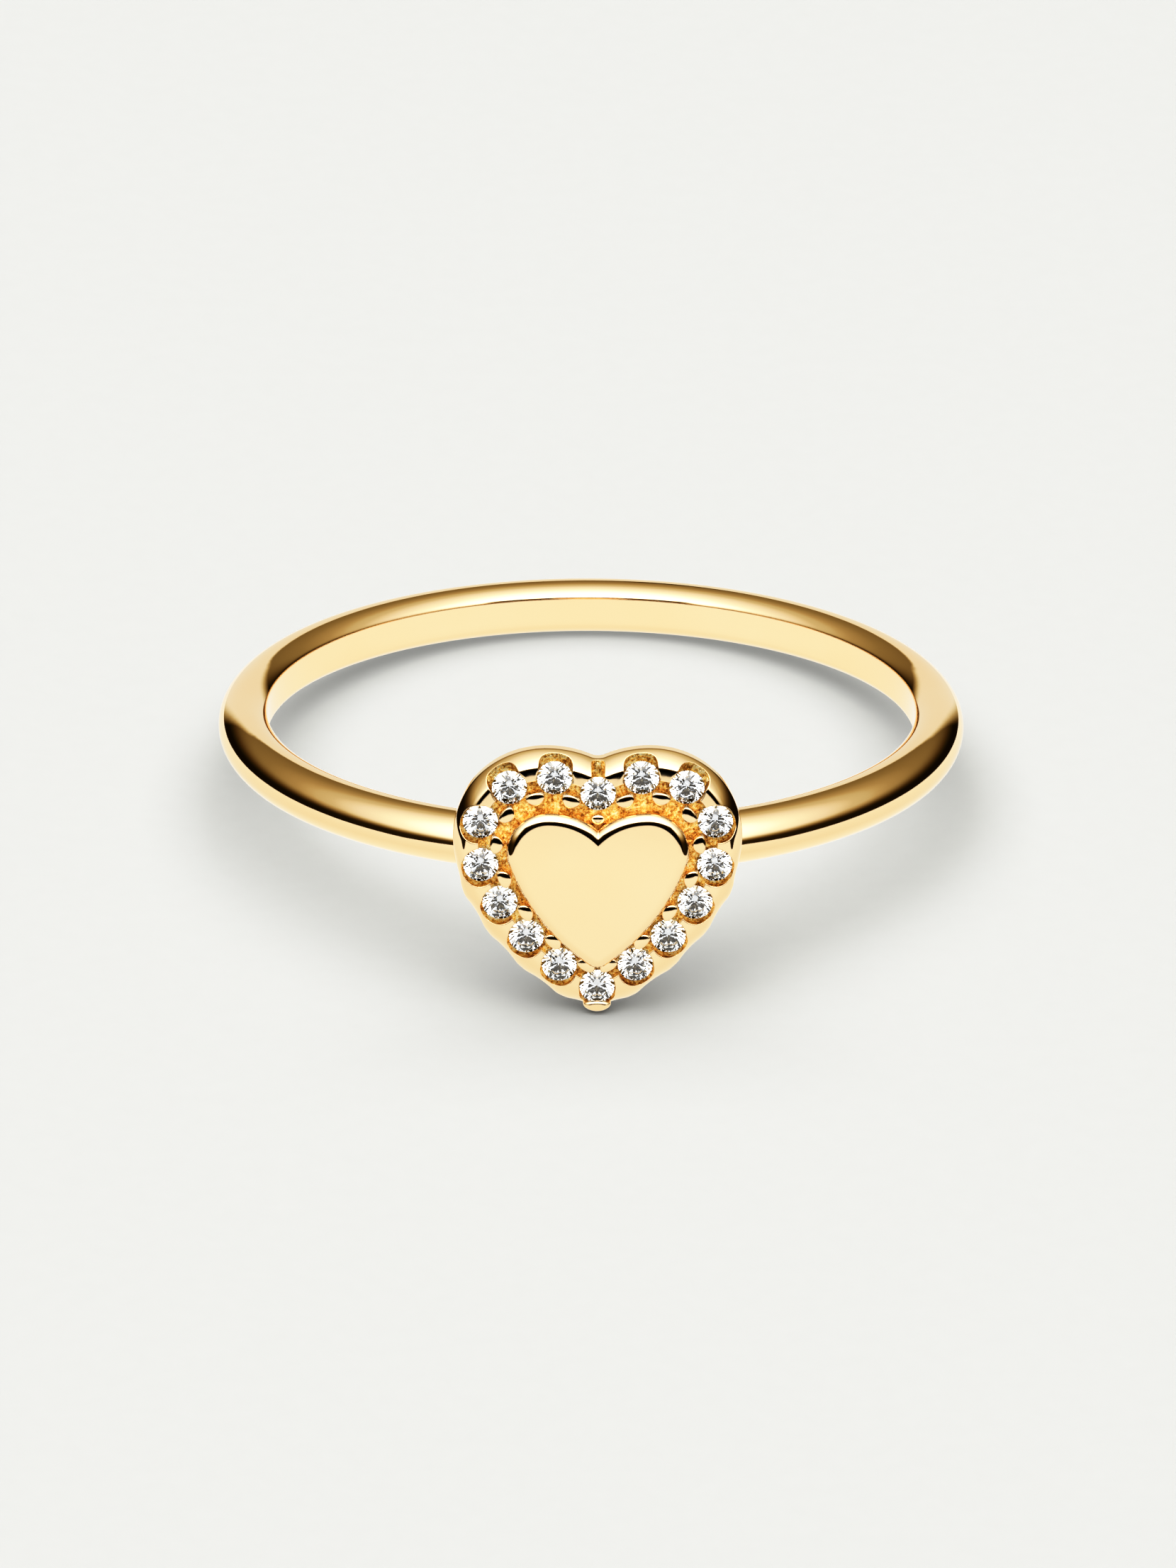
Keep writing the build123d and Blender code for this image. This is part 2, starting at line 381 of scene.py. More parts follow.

# %% [markdown]
# The clean background of the picture is wider than the real table was. The metal still mirrors what lay
# there: a pale slab, round under the ring and running to the front, and the dark room beyond its edges.
# Those edges give the band its broad black line. So the floor is hidden from the mirror, and only the
# mirror sees the slab. The slab isn't lit but glows, as painted light for the lit table. Its glow is
# painted dimmer and warmer in a ring near the band, as painted shade for the band's shadow, and it dims a
# little towards its front end.

# %% Lay the mirrored slab
slab_radius = 19.0
slab_half_width = 14.0
slab_front = 44.0
slab_margin = 2.0
slab_steps = 96
slab_mesh = bpy.data.meshes.new("mirrored_slab")
sheet = bmesh.new()
corner_turn = acos(slab_half_width / slab_radius)
round_part = pi + 2 * corner_turn
turns = [-corner_turn + round_part * step / slab_steps for step in range(slab_steps + 1)]
slab_line = [(slab_radius * cos(turn), slab_radius * sin(turn)) for turn in turns]
slab_line += [(-slab_half_width, -slab_front), (slab_half_width, -slab_front)]
sheet.faces.new([sheet.verts.new((x * millimetre, y * millimetre, 0)) for x, y in slab_line])
sheet.to_mesh(slab_mesh)
sheet.free()
slab = bpy.data.objects.new("mirrored_slab", slab_mesh)
bpy.context.scene.collection.objects.link(slab)
slab.visible_camera = slab.visible_diffuse = slab.visible_shadow = False

slab_finish, slab_tree, slab_shader = new_finish(
    "pale_slab", Roughness=0.9, Specular_IOR_Level=0.0, Emission_Strength=1.0
)
slab_place = Socket.node(slab_tree, "ShaderNodeTexCoord", output="Object")
take_length = {"operation": "LENGTH"}
from_ring = Socket.node(slab_tree, "ShaderNodeVectorMath", take_length, {0: slab_place}, "Value")
slab_reach = from_ring / ((slab_front + slab_margin) * millimetre)
# painted light and shade: an even glow, painted dimmer and warmer in a ring near the band as the band's
# shadow, and dimmer towards the front end
slab_painted_light_and_shade = ramp(
    slab_reach,
    (0.00, (0.93, 0.93, 0.92)),
    (0.17, (0.93, 0.93, 0.92)),
    (0.24, (0.84, 0.83, 0.79)),
    (0.38, (0.90, 0.90, 0.89)),
    (0.65, (0.93, 0.93, 0.925)),
    (1.00, (0.80, 0.80, 0.79)),
)
slab_colour = ramp(slab_reach, (0.0, (0.03, 0.03, 0.03)), (1.0, (0.02, 0.02, 0.02)))
feed(slab_tree, slab_shader, Base_Color=slab_colour, Emission_Color=slab_painted_light_and_shade)
slab_mesh.materials.append(slab_finish)
print("slab", 2 * slab_radius, "mm wide,", slab_front, "mm to the front")

# %% [markdown]
# ## Polished gold
#
# Where a polishing wheel reaches, the gold is a mirror. A perfect mirror looks like plastic, so a very
# faint ripple from the wheel bends the reflections, the haze of fine scratches comes and goes, and the
# alloy's tint wanders a little. A soft bevel, worked out by the shader, rounds the edges that the drill
# leaves.

# %% Mix the polished gold
gold_finish, gold_tree, gold_shader = new_finish("polished_gold", Metallic=1.0)
gold_place = Socket.node(gold_tree, "ShaderNodeTexCoord", output="Object")
wheel_ripple = lumps(gold_place, 0.9)
haze = lumps(gold_place, 0.15, detail=4.0)
tint_drift = lumps(gold_place, 3.0)
gold_colour = ramp(tint_drift, (0.3, (1.0, 0.776, 0.512)), (0.7, (1.0, 0.794, 0.538)))
least_haze, added_haze = 0.02, 0.05
edge_softness = 0.05
ripple_strength = 0.2
ripple_height = 0.01
bevel_radius = {"Radius": edge_softness * millimetre}
cut_edge = Socket.node(gold_tree, "ShaderNodeBevel", {"samples": 6}, bevel_radius, "Normal")
gold_normal = Socket.node(
    gold_tree,
    "ShaderNodeBump",
    inputs={
        "Strength": ripple_strength,
        "Distance": ripple_height * millimetre,
        "Height": wheel_ripple,
        "Normal": cut_edge,
    },
)
gold_roughness = least_haze + added_haze * haze
feed(gold_tree, gold_shader, Base_Color=gold_colour, Roughness=gold_roughness, Normal=gold_normal)
print("polished gold mixed with", len(gold_tree.nodes), "nodes")

# %% [markdown]
# ## Cast gold
#
# Where the wheel can't reach, in the recess and in the drilled seats, the gold keeps the grain of the
# casting, and its colour is painted much darker and more orange: painted shade makes the grain's hollows
# brown, and painted highlights make its crests gold to pale. Light that is caught between the gold walls
# turns orange and comes out again, and a weak painted glow, brighter on the crests, stands for it. In the
# seats the drill leaves fine rings, drawn here from the map of distances that the cutters bring with them.

# %% Mix the cast gold
map_name = "drill"
ring_pitch = 0.09
# the cast gold glows weakly: painted light for the light caught between its walls
cast_finish, cast_tree, cast_shader = new_finish("cast_gold", Metallic=1.0, Emission_Strength=0.24)
cast_place = Socket.node(cast_tree, "ShaderNodeTexCoord", output="Object")
drill_map = Socket.node(cast_tree, "ShaderNodeUVMap", {"uv_map": map_name})
grain = lumps(cast_place, 0.07, detail=3.0)
blotches = lumps(cast_place, 0.25, detail=3.0)
from_middle = Socket.node(cast_tree, "ShaderNodeVectorMath", take_length, {0: drill_map}, "Value")
ring_wander = 0.06
ring_start = (0.05, 0.10)
wander = from_middle + ring_wander * blotches
drill_rings = (wander * (2 * pi / ring_pitch)).math("SINE") * ease(from_middle, *ring_start)
crests = 0.6 * grain + 0.4 * blotches + 0.02 * drill_rings
# painted shade and highlight: brown in the grain's hollows, gold to pale on its crests
cast_colour_painted_shade_and_highlight = ramp(
    crests,
    (0.34, (0.40, 0.22, 0.05)),
    (0.44, (0.84, 0.58, 0.22)),
    (0.53, (1.00, 0.82, 0.45)),
    (0.64, (1.00, 0.95, 0.74)),
)
# painted light: an orange glow for light caught between the gold walls, brighter on the crests
painted_bounce_glow = ramp(crests, (0.42, (0.22, 0.08, 0.01)), (0.50, (0.75, 0.46, 0.11)), (0.60, (1.0, 0.88, 0.55)))
grain_strength = 0.7
grain_relief = 0.04
cast_normal = Socket.node(
    cast_tree,
    "ShaderNodeBump",
    inputs={
        "Strength": grain_strength,
        "Distance": grain_relief * millimetre,
        "Height": grain + 0.5 * blotches + 0.06 * drill_rings,
    },
)
least_dull, added_dull = 0.15, 0.25
feed(
    cast_tree,
    cast_shader,
    Base_Color=cast_colour_painted_shade_and_highlight,
    Roughness=least_dull + added_dull * grain,
    Normal=cast_normal,
    Emission_Color=painted_bounce_glow,
)
print("cast gold mixed with", len(cast_tree.nodes), "nodes")

# %% [markdown]
# ## Drawing a heart
#
# Every outline of the head is the same kind of heart: from the cleft over the brow, round the lobe and down
# the side to the tip, each stretch a round arc. A larger or smaller heart at an even distance has the same
# centres and longer or shorter radii, which is how the shoulder of the plate can be rounded all the way
# round. The cleft and the tip get small rounds of their own. Each arc has a fixed number of points, so two
# hearts can be joined point by point.

# %% Draw the heart outlines
stone_line_width = 6.28
stone_line_height = 5.80
stone_line_lobe_share = 0.286
stone_line_cleft_share = 0.077
side_lean = radians(20)
stone_line_top = stone_line_height / 2
arc_steps = {"cleft": 12, "brow": 44, "lobe": 116, "side": 96, "tip": 24}


def compass(turn):
    """The direction on a board at this angle from its right."""
    return Vector((cos(turn), sin(turn)))


class Heart:
    """A heart of round arcs, from its width, its top and tip heights and two shares."""

    def __init__(self, width, top, tip, lobe_share, cleft_share):
        self.lobe_radius = width * lobe_share
        lobe_x = width / 2 - self.lobe_radius
        dip = (top - tip) * cleft_share
        self.brow_radius = (lobe_x**2 + dip**2) / (2 * dip)
        self.lobe_centre = Vector((lobe_x, top - self.lobe_radius))
        self.brow_centre = Vector((lobe_x, top - self.brow_radius))
        leaning = compass(-side_lean)
        side_start = self.lobe_centre + self.lobe_radius * leaning
        run = Vector((0, tip)) - side_start
        self.side_radius = -run.length_squared / (2 * run.dot(leaning))
        self.side_centre = side_start - self.side_radius * leaning

    def outline(self, grow=0.0, cleft_round=0.01, tip_round=0.01):
        """Points clockwise from the cleft on the grown outline, with its corners rounded."""
        brow_reach = self.brow_radius + grow
        side_reach = self.side_radius + grow
        brow, side = self.brow_centre, self.side_centre
        cleft_height = brow.y + sqrt((brow_reach + cleft_round) ** 2 - brow.x**2)
        tip_height = side.y - sqrt((side_reach - tip_round) ** 2 - side.x**2)
        cleft_turn = atan2(brow.y - cleft_height, brow.x)
        tip_turn = atan2(tip_height - side.y, -side.x)
        arcs = (
            ("cleft", Vector((0, cleft_height)), cleft_round, -pi / 2, cleft_turn),
            ("brow", brow, brow_reach, cleft_turn + pi, pi / 2),
            ("lobe", self.lobe_centre, self.lobe_radius + grow, pi / 2, -side_lean),
            ("side", side, side_reach, -side_lean, tip_turn),
            ("tip", Vector((0, tip_height)), tip_round, tip_turn, -pi / 2),
        )
        half = []
        for name, centre, radius, start, stop in arcs:
            turn = (stop - start) / arc_steps[name]
            half += [centre + radius * compass(start + turn * step) for step in range(arc_steps[name])]
        lowest = Vector((0, tip_height - tip_round))
        return half + [lowest] + [Vector((-point.x, point.y)) for point in reversed(half[1:])]


stone_heart = Heart(
    stone_line_width, stone_line_top, -stone_line_top, stone_line_lobe_share, stone_line_cleft_share
)
print("points on a heart", len(stone_heart.outline()))

# %% [markdown]
# ## Skinning outlines
#
# A level is an outline lifted to a height on its board. Skinning a stack of levels gives a closed body, as
# a wax carver builds a model from slices. Each gap between two levels is given its finish, polished or cast.

# %% Make the skinning helpers
polished, cast = 0, 1
crease_angle = radians(32)


def level(outline, height):
    """An outline lifted to this height above its board."""
    return [Vector((point.x, point.y, height)) for point in outline]


def soft_edge(width, depth, steps):
    """Pairs of inset and drop along a quarter of an ellipse, from the flat top to the upright side."""
    turns = [pi / 2 * step / steps for step in range(steps + 1)]
    return [(width * (1 - sin(turn)), depth * (1 - cos(turn))) for turn in turns]


def skin(sheet, levels, finish=polished):
    """Closes a stack of levels, lowest first, into a body. finish may be one number or one for each gap."""
    rings = [[sheet.verts.new(point) for point in points] for points in levels]
    count = len(rings[0])
    finishes = finish if isinstance(finish, list) else [finish] * (len(rings) - 1)
    for low, high, number in zip(rings, rings[1:], finishes):
        for place in range(count):
            after = (place + 1) % count
            sheet.faces.new((low[place], low[after], high[after], high[place])).material_index = number
    sheet.faces.new(rings[0]).material_index = finishes[0]
    sheet.faces.new(rings[-1]).material_index = finishes[-1]


def new_piece(name, sheet, place):
    """A mesh object from a sheet drawn on a board, with smooth faces and crisp edges."""
    bmesh.ops.recalc_face_normals(sheet, faces=sheet.faces)
    mesh = bpy.data.meshes.new(name)
    sheet.to_mesh(mesh)
    sheet.free()
    mesh.transform(place)
    mesh.shade_smooth()
    mesh.set_sharp_from_angle(angle=crease_angle)
    for finish in (gold_finish, cast_finish):
        mesh.materials.append(finish)
    piece = bpy.data.objects.new(name, mesh)
    bpy.context.scene.collection.objects.link(piece)
    return piece


print("edges stay crisp above", round(degrees(crease_angle)), "degrees")

# %% [markdown]
# ## Where the stones sit
#
# The stones' places are read from the construction model: the middle of each stone on the heart's board,
# and the direction that points out of the heart there.

# %% Read the stones' places
stones = [frame["nodes"][f"stone_{number:02d}"] for number in range(1, 17)]
to_board = heart_board.inverted()


def middle_on_board(node):
    """The middle of a node's outline as seen on the heart's board, in millimetres."""
    spots = [to_board @ node.matrix_world @ vertex.co for vertex in node.data.vertices]
    spans = [(min(spot[axis] for spot in spots), max(spot[axis] for spot in spots)) for axis in (0, 1)]
    return Vector([(low + high) / 2 for low, high in spans])


seat_points = [middle_on_board(stone) for stone in stones]


def outward(before, after):
    """The direction out of the heart, square to the line between two clockwise points."""
    run = (after - before).normalized()
    return Vector((-run.y, run.x))


after_points = seat_points[1:] + seat_points[:1]
before_points = seat_points[-1:] + seat_points[:-1]
seat_facings = [outward(before, after) for before, after in zip(before_points, after_points)]
print("first stones at", [[round(value, 3) for value in point] for point in seat_points[:3]])

# %% [markdown]
# ## The halo plate
#
# The plate is cast, then its front is polished: a soft shoulder rises from the rim to a narrow flat deck.
# On the lower side the rim is fuller and swells a little between the stones, where the setter left metal.

# %% Draw the plate's rim
rim_reach = 0.66
rim_height = 0.12
plate_depth = 0.72
back_round = 0.12
cleft_round = 0.45
tip_round = 0.75
shoulder_arcs = (
    # radius, slope at its start and at its end in degrees
    (0.24, 0, 45),
    (1.10, 45, 68),
    (0.20, 68, 90),
)
shoulder_steps = (8, 14, 12)
pad_swell = 0.07
pad_distances = (0.60, 0.84)  # from the nearest stone: where the swell starts, and where it is full
lower_growth = 0.08
lower_depths = (-0.6, 0.6)  # below the heart's middle: where the growth starts, and where it is full
tip_depths = (3.1, 3.5)  # where the growth fades again, before the tip
side_trim = 0.05


def shoulder_profile():
    """Pairs of reach and drop from the deck's edge outwards, along three arcs that flow together."""
    reach, drop = 0.0, 0.0
    profile = [(reach, drop)]
    for (radius, start, stop), steps in zip(shoulder_arcs, shoulder_steps):
        for step in range(1, steps + 1):
            turn = radians(start + (stop - start) * step / steps)
            along = radius * (sin(turn) - sin(radians(start)))
            down = radius * (cos(radians(start)) - cos(turn))
            profile.append((reach + along, drop + down))
        reach, drop = profile[-1]
    return profile


profile = shoulder_profile()
shoulder_width = profile[-1][0]


def soft_step(value, low, high):
    """0 below low, 1 above high, and a smooth way between them."""
    share = min(max((value - low) / (high - low), 0), 1)
    return share * share * (3 - 2 * share)


def pad_swells():
    """How far each point of the rim swells: out below and between the stones there, in at the sides."""
    rim = stone_heart.outline(rim_reach, cleft_round, tip_round)
    swells = []
    for before, point, after in zip(rim[-1:] + rim[:-1], rim, rim[1:] + rim[:1]):
        facing = outward(before, after)
        from_stone = min((point - seat).length for seat in seat_points)
        pad = pad_swell * soft_step(from_stone, *pad_distances)
        growth = lower_growth * (1 - soft_step(-point.y, *tip_depths))
        swell = (pad + growth) * soft_step(-point.y, *lower_depths)
        swells.append((swell - side_trim * facing.x**4) * facing)
    return swells


rim_swells = pad_swells()
print("shoulder", round(shoulder_width, 3), "mm wide and", round(profile[-1][1], 3), "mm deep")

# %% [markdown]
# The plate is skinned from its back over the shoulder to the deck, down the wall of the recess and over
# the recess floor. The floor's points are lifted by the grain of the casting, so that it catches light like
# rough metal. The deck's wall follows the line of the stones.

# %% Skin the plate
rim_inset = 0.04
recess_depth = 0.12
back_steps = 6
recess_steps = 44
wall_steps = 4
grain_size = 0.075
grain_height = 0.05
fine_grain, fine_share = 2.1, 0.6
broad_grain, broad_share = 0.4, 0.5

centre_side_gap = 0.77
centre_top_gap = 0.88
centre_tip_gap = 0.56
centre_lobe_share = 0.228
centre_cleft_share = 0.112
centre_heart = Heart(
    stone_line_width - 2 * centre_side_gap,
    stone_line_top - centre_top_gap,
    centre_tip_gap - stone_line_top,
    centre_lobe_share,
    centre_cleft_share,
)
centre_tip_round = 0.35
recess_line = stone_heart.outline(-rim_inset, cleft_round=rim_inset)
centre_foot = centre_heart.outline(tip_round=centre_tip_round)


def plate_level(inset, height):
    """The plate's outline this far inside its rim."""
    outline = stone_heart.outline(rim_reach - inset, cleft_round + inset, tip_round - inset)
    share = 1 - inset / shoulder_width
    return level([point + swell * share for point, swell in zip(outline, rim_swells)], height)


def grainy(point):
    """A point of the rough recess floor, lifted by the grain of the casting."""
    spot = point / grain_size
    fine = fine_share * noise.noise(fine_grain * spot)
    broad = broad_share * abs(noise.noise(broad_grain * spot))
    return point + Vector((0, 0, grain_height * (noise.noise(spot) + fine + broad)))


back_levels = [
    plate_level(inset, drop - plate_depth) for inset, drop in soft_edge(back_round, back_round, back_steps)
]
shoulder_levels = [
    plate_level(shoulder_width - reach, rim_height - drop) for reach, drop in reversed(profile)
]
wall_levels = [
    level(recess_line, rim_height - (rim_height + recess_depth) * step / wall_steps)
    for step in range(wall_steps + 1)
]
floor_levels = []
for step in range(1, recess_steps + 1):
    way = step / recess_steps
    outline = [edge.lerp(foot, way) for edge, foot in zip(recess_line, centre_foot)]
    floor_levels.append([grainy(point) for point in level(outline, -recess_depth)])
plate_levels = back_levels + shoulder_levels + wall_levels + floor_levels
smooth_gaps = len(back_levels) + len(shoulder_levels)
rough_gaps = len(plate_levels) - 1 - smooth_gaps
plate_sheet = bmesh.new()
skin(plate_sheet, plate_levels, [polished] * smooth_gaps + [cast] * rough_gaps)
halo_plate = new_piece("halo_plate", plate_sheet, Matrix.Identity(4))
print("halo plate levels", len(plate_levels))

# %% [markdown]
# Two tools cut the seats. A drill makes a round hole with a flat ledge, and a cone that gives room to the
# stone's point. The drill leaves polished walls and rough bottoms. Each cutter carries a flat map of
# distances from the stone's middle, from which the cast gold draws the drill's rings.

# %% Make the drill
seat_radius = 0.475
seat_ledge = 0.16
cutter_top = 1.2
cone_mouth = 0.30
cone_bottom = 0.45
cone_tip = 0.02
drill_steps = 72


def place_cutter(sheet, old_faces, old_vertices, point, facing):
    """Writes the map of distances on a new cutter and carries it to its stone."""
    sheet.faces.ensure_lookup_table()
    sheet.verts.ensure_lookup_table()
    chart = sheet.loops.layers.uv.verify()
    for face in sheet.faces[old_faces:]:
        for corner in face.loops:
            corner[chart].uv = corner.vert.co.xy
    turn = Matrix.Rotation(atan2(facing.y, facing.x), 4, "Z")
    place = Matrix.Translation((point.x, point.y, 0)) @ turn
    bmesh.ops.transform(sheet, matrix=place, verts=sheet.verts[old_vertices:])


def drill(sheet, point, facing):
    """Adds the round hole, its ledge and its cone."""
    turns = [2 * pi * step / drill_steps for step in range(drill_steps)]
    stack = (
        # radius, height
        (cone_tip, -cone_bottom),
        (cone_mouth, -seat_ledge),
        (seat_radius, -seat_ledge),
        (seat_radius, cutter_top),
    )
    old = len(sheet.faces), len(sheet.verts)
    rounds = [level([radius * compass(turn) for turn in turns], height) for radius, height in stack]
    skin(sheet, rounds, [cast, cast, polished])
    place_cutter(sheet, *old, point, facing)


print("drill", 2 * seat_radius, "mm wide,", cone_bottom, "mm deep")

# %% [markdown]
# A second cutter opens the seats, so that light gets in from the side. On the brow of the heart it makes a
# channel with a softly squared bottom, out to the rim. Round the lobes and down the sides it makes a short
# pocket, which leans downwards and leaves metal below the stone. Only the stone in the cleft has a narrow
# groove, up to the rim.

# %% Make the channel and the pocket
scallop_half_width = 0.445
scallop_depth = 0.33
scallop_reach = 1.0
scallop_steps = 40
squareness = 2.8
bright_wall_from = 0.40  # sideways from the channel's middle
pocket_radius = 0.465
pocket_reach = 0.13
pocket_round = 0.16
round_steps = 9


def round_channel(sheet, half_width, top, depth, start, stop, point, facing):
    """Adds a channel with a softly squared bottom, from one distance outwards to another, open above."""
    line = []
    for step in range(scallop_steps + 1):
        turn = compass(pi * step / scallop_steps)
        sideways_share = copysign(abs(turn.x) ** (2 / squareness), turn.x)
        downward_share = abs(turn.y) ** (2 / squareness)
        line.append((half_width * sideways_share, top - depth * downward_share))
    line += [(-half_width, cutter_top), (half_width, cutter_top)]
    old = len(sheet.faces), len(sheet.verts)
    skin(sheet, [[Vector((x, y, z)) for y, z in line] for x in (start, stop)], cast)
    sheet.faces.ensure_lookup_table()
    for face in sheet.faces[old[0] :]:
        if abs(face.calc_center_median().y) > bright_wall_from:
            face.material_index = polished
    place_cutter(sheet, *old, point, facing)


def pocket(sheet, point, facing):
    """Adds a pocket longer than it is wide, with a flat floor and rounded walls, open above."""

    def ring(inset, height):
        turns = [2 * pi * (step + 0.5) / drill_steps for step in range(drill_steps)]
        spots = [(pocket_radius - inset) * compass(turn) for turn in turns]
        return level([spot + Vector((pocket_reach if spot.x > 0 else 0, 0)) for spot in spots], height)

    floor_height = rim_height - scallop_depth
    edge = soft_edge(pocket_round, pocket_round, round_steps)
    levels = [ring(inset, floor_height + drop) for inset, drop in edge] + [ring(0, cutter_top)]
    old = len(sheet.faces), len(sheet.verts)
    skin(sheet, levels, [cast] * (len(levels) - 2) + [polished])
    place_cutter(sheet, *old, point, facing)


print("channel", 2 * scallop_half_width, "mm wide, pocket", 2 * pocket_radius + pocket_reach, "mm long")

# %% [markdown]
# All the drills are one body and all the openings another, so two Boolean cuts are enough.

# %% Cut the seats
groove_radius = 0.17
groove_depth = 0.30
first_pocket, last_pocket = 4, 14
opening_lean = 0.65
downward = Vector((0, -1))


def cut(piece, sheet, name):
    """Takes the bodies on this sheet away from the piece."""
    cutter = new_piece(name, sheet, Matrix.Identity(4))
    cutting = piece.modifiers.new(name, "BOOLEAN")
    cutting.object = cutter
    cutting.operation = "DIFFERENCE"
    cutting.solver = "MANIFOLD"
    finished = piece.evaluated_get(bpy.context.evaluated_depsgraph_get())
    piece.data = bpy.data.meshes.new_from_object(finished)
    piece.modifiers.clear()
    bpy.data.meshes.remove(cutter.data)


def new_cutters():
    """An empty sheet that carries the map of distances."""
    sheet = bmesh.new()
    sheet.loops.layers.uv.new(map_name)
    return sheet


halo_plate.data.uv_layers.new(name=map_name)
drills, scallops = new_cutters(), new_cutters()
for point, facing in zip(seat_points, seat_facings):
    drill(drills, point, facing)
for number, (point, facing) in enumerate(zip(seat_points, seat_facings), start=1):
    if first_pocket <= number <= last_pocket:
        pocket(scallops, point, facing.lerp(downward, opening_lean).normalized())
    elif number > 1:
        round_channel(
            scallops, scallop_half_width, rim_height, scallop_depth, 0, scallop_reach, point, facing
        )
round_channel(
    scallops,
    half_width=groove_radius,
    top=groove_radius - groove_depth,
    depth=groove_radius,
    start=0,
    stop=2 * scallop_reach,
    point=seat_points[0],
    facing=seat_facings[0],
)
cut(halo_plate, drills, "drills")
cut(halo_plate, scallops, "scallops")
halo_plate.data.transform(heart_board)
halo_plate.data.set_sharp_from_angle(angle=crease_angle)
print("halo plate triangles", sum(len(face.vertices) - 2 for face in halo_plate.data.polygons))

# %% [markdown]
# ## Prongs and beads
#
# Between each two stones, on the heart's inner side, a small tongue of metal stands up and is pressed
# against both stones. Its top is a low dome, whose upper edge mirrors the dark horizon as a black crescent.
# The bead at the tip and the small bead below the cleft's stone are made in the same way.

# %% Make the tongue and the pad
pad_steps = 72
pad_foot = -2 * recess_depth


def tongue(middle, inwards, outward_length, inward_length, half_width, taper):
    """The outline of a tongue: wide between the stones and narrower towards the recess."""
    side = Vector((-inwards.y, inwards.x))
    outline = []
    for step in range(pad_steps):
        turn = compass(2 * pi * step / pad_steps)
        length = inward_length if turn.x > 0 else outward_length
        width = half_width * (1 - taper * turn.x)
        outline.append(middle + length * turn.x * inwards + width * turn.y * side)
    return outline


def raise_pad(sheet, middle, outline, bottom, top, edge):
    """Adds a pad with upright sides and a domed top. The edge is a share of its width, and a depth."""

    def ring(share, height):
        return level([middle.lerp(point, share) for point in outline], height)

    levels = [ring(1, bottom)]
    levels += [ring(1 - share, top - drop) for share, drop in reversed(soft_edge(*edge, round_steps))]
    skin(sheet, levels)


print("pads drawn with", pad_steps, "points and", round_steps + 2, "levels")

# %% [markdown]
# The prongs stand between the stones. The tip bead reaches from the back of the plate to its deck, and the
# cleft bead stands in the recess. Each has its own tongue and its own dome.

# %% Raise the prongs and beads
# a tongue: outward length, inward length, half width, taper
prong_shape = (0.17, 0.19, 0.24, 0.22)
tip_bead_shape = (0.16, 0.18, 0.36, 0.12)
cleft_bead_shape = (0.13, 0.16, 0.18, 0.15)
# a dome: share of the width that is rounded, depth
prong_edge = (0.94, 0.045)
tip_bead_edge = (0.60, 0.16)
cleft_bead_edge = (0.80, 0.06)
prong_inset = 0.41
prong_height = 0.22
tip_stone = 8
tip_bead_drop = 0.52
cleft_bead_drop = 0.68
cleft_bead_height = 0.16

prong_sheet = bmesh.new()
for point, after in zip(seat_points, after_points):
    inwards = -outward(point, after)
    middle = (point + after) / 2 + inwards * prong_inset
    outline = tongue(middle, inwards, *prong_shape)
    raise_pad(prong_sheet, middle, outline, pad_foot, prong_height, prong_edge)
prongs = new_piece("prongs", prong_sheet, heart_board)

bead_sheet = bmesh.new()
tip_middle = seat_points[tip_stone] + tip_bead_drop * downward
tip_outline = tongue(tip_middle, downward, *tip_bead_shape)
raise_pad(bead_sheet, tip_middle, tip_outline, -plate_depth, rim_height, tip_bead_edge)
cleft_middle = seat_points[0] + cleft_bead_drop * downward
cleft_outline = tongue(cleft_middle, downward, *cleft_bead_shape)
raise_pad(bead_sheet, cleft_middle, cleft_outline, pad_foot, cleft_bead_height, cleft_bead_edge)
beads = new_piece("beads", bead_sheet, heart_board)
print("prongs", len(after_points), "and beads 2")

# %% [markdown]
# ## The raised heart
#
# The plain heart in the middle is polished like a mirror. Its face is flat, its edge is a soft pillow round
# that meets in a sharp crease at the cleft. The edge shows the dark horizon as a black line and the lamp
# above it as a white one.

# %% Raise the heart
face_height = 0.50
edge_width = 0.27
edge_depth = 0.22
edge_steps = 26
edge_margin = 0.02


def centre_level(inset, height):
    """The raised heart's outline this far inside its wall."""
    return level(centre_heart.outline(-inset, tip_round=max(centre_tip_round - inset, 0.02)), height)


heart_levels = [centre_level(0, pad_foot)]
for inset, drop in reversed(soft_edge(edge_width, edge_depth, edge_steps)):
    heart_levels.append(centre_level(inset, face_height - drop))
heart_levels.append(centre_level(edge_width + edge_margin, face_height))
heart_sheet = bmesh.new()
skin(heart_sheet, heart_levels)
raised_heart = new_piece("raised_heart", heart_sheet, heart_board)
print("raised heart levels", len(heart_levels))

# %% [markdown]
# ## Neck and band
#
# A short waisted neck carries the head on the band, behind the plate. It is skinned from ellipses whose
# width and height follow a smooth curve through three sections.

# %% Make the neck
neck_sink = 0.45
neck_steps = 24
neck_points = 160
neck_start = back_round - plate_depth
neck_length = girdle_stand_off + neck_start + neck_sink
neck_sections = (
    # share of the stone line's width, share of its height, how far along the neck
    (0.88, 0.80, 0.0),
    (0.78, 0.50, 0.4),
    (0.80, 0.21, 1.0),
)


def through_sections(way, column):
    """The neck's width or height share at this way, on the smooth curve through its three sections."""
    total = 0
    for section in neck_sections:
        weight = 1
        for other in neck_sections:
            if other is not section:
                weight *= (way - other[2]) / (section[2] - other[2])
        total += weight * section[column]
    return total


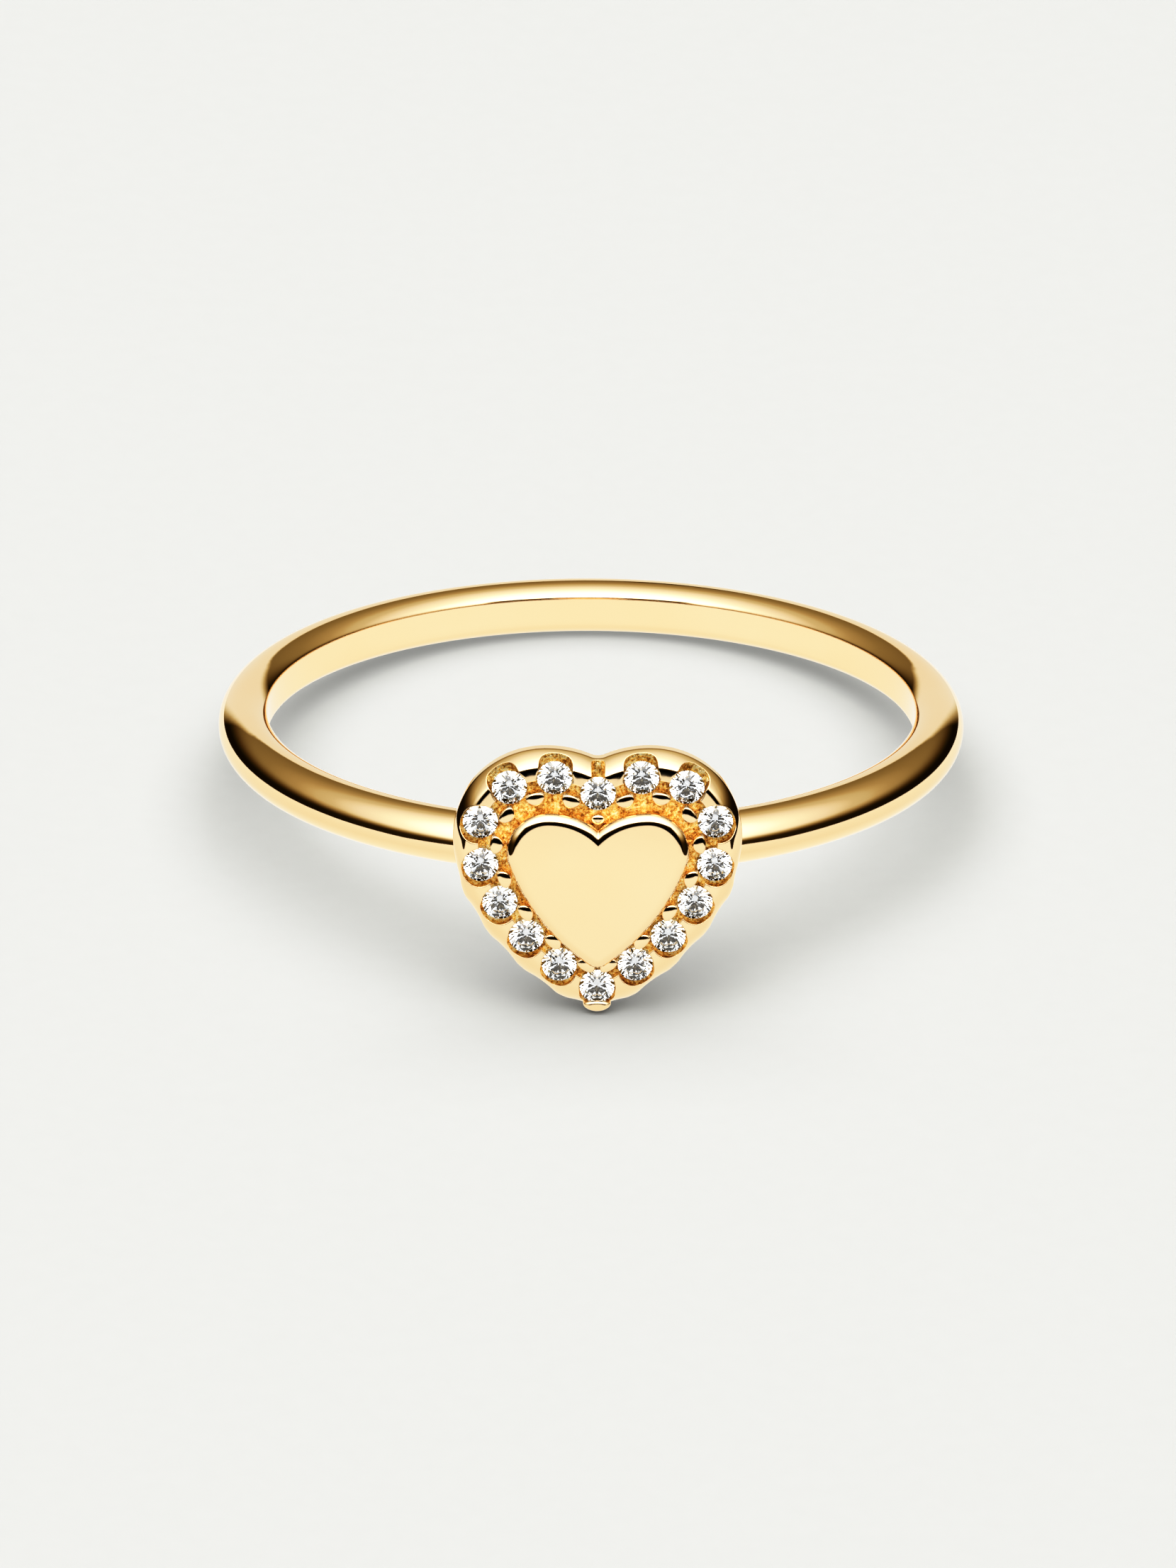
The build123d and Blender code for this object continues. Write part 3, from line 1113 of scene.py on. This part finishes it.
neck_levels = []
for step in range(neck_steps + 1):
    way = 1 - step / neck_steps
    half_width = stone_line_width * through_sections(way, 0) / 2
    half_height = stone_line_height * through_sections(way, 1) / 2
    turns = [2 * pi * place / neck_points for place in range(neck_points)]
    ellipse = [Vector((half_width * cos(turn), half_height * sin(turn))) for turn in turns]
    neck_levels.append(level(ellipse, neck_start - neck_length * way))
neck_sheet = bmesh.new()
skin(neck_sheet, neck_levels)
neck = new_piece("neck", neck_sheet, heart_board)
print("neck levels", len(neck_levels))

# %% [markdown]
# The band is a wire, flat towards the finger and round outside, bent to a circle. Its section is one wide
# arc and two small rounds at the edges of the flat, and the flat closes it.

# %% Bend the band
bore_edge_round = 0.20
band_steps = 480
arc_points = 56
corner_points = 5
band_round = (band_thickness**2 + (bore_wall / 2) ** 2) / (2 * band_thickness)
arc_middle = band_outer_radius - band_round
corner_middle = finger_radius + bore_edge_round
corner_side = sqrt((band_round - bore_edge_round) ** 2 - (arc_middle - corner_middle) ** 2)
arc_end = atan2(corner_side, corner_middle - arc_middle)
section = [
    Vector((arc_middle, 0)) + band_round * compass(arc_end * (2 * step / arc_points - 1))
    for step in range(arc_points + 1)
]
corner_turn = (pi - arc_end) / corner_points
section += [
    Vector((corner_middle, corner_side)) + bore_edge_round * compass(arc_end + corner_turn * step)
    for step in range(1, corner_points + 1)
]
section += [Vector((point.x, -point.y)) for point in reversed(section[arc_points + 1 :])]
band_sheet = bmesh.new()
rings = []
for step in range(band_steps):
    turn = compass(2 * pi * step / band_steps)
    rings.append([band_sheet.verts.new((point.x * turn.x, point.x * turn.y, point.y)) for point in section])
for low, high in zip(rings, rings[1:] + rings[:1]):
    for place in range(len(section)):
        after = (place + 1) % len(section)
        band_sheet.faces.new((low[place], low[after], high[after], high[place]))
band = new_piece("band", band_sheet, band_board)
print("band faces", len(band.data.polygons))

# %% [markdown]
# The six metal pieces take the place of the model's plain metal solid. Polished gold throws bright warm
# patches on a white table, which the soft light of the picture doesn't show, so the matt table doesn't see
# the metal, apart from its shadow.

# %% Put the metal together
metal_pieces = [halo_plate, prongs, beads, raised_heart, neck, band]
for piece in metal_pieces:
    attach(piece, "root")
    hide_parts("ring_body")
    piece.visible_diffuse = False
print("metal pieces", [piece.name for piece in metal_pieces])

# %% [markdown]
# ## The stones
#
# The stones are cut brilliants of a clear synthetic crystal that bends light strongly. The construction
# model has every facet already, so they only need their glass: clear and slightly cool, with a breath of
# haze that comes and goes, as on stones that have been handled.

# %% Give the stones their glass
stone_finish, stone_tree, stone_shader = new_finish("clear_stone", IOR=2.4, Transmission_Weight=1.0)
stone_place = Socket.node(stone_tree, "ShaderNodeTexCoord", output="Object")
breath = lumps(stone_place, 0.4, detail=3.0)
stone_colour = ramp(breath, (0.3, (0.93, 0.955, 1.0)), (0.7, (0.97, 0.985, 1.0)))
feed(stone_tree, stone_shader, Base_Color=stone_colour, Roughness=0.01 * breath)
node_finishes = [(stone, stone_finish) for stone in stones]
node_finishes.append((frame["nodes"]["ring_body"], gold_finish))
for node, finish in node_finishes:
    for slot in node.material_slots:
        slot.link = "OBJECT"
        slot.material = finish
print("finished", len(node_finishes), "nodes of the construction model")
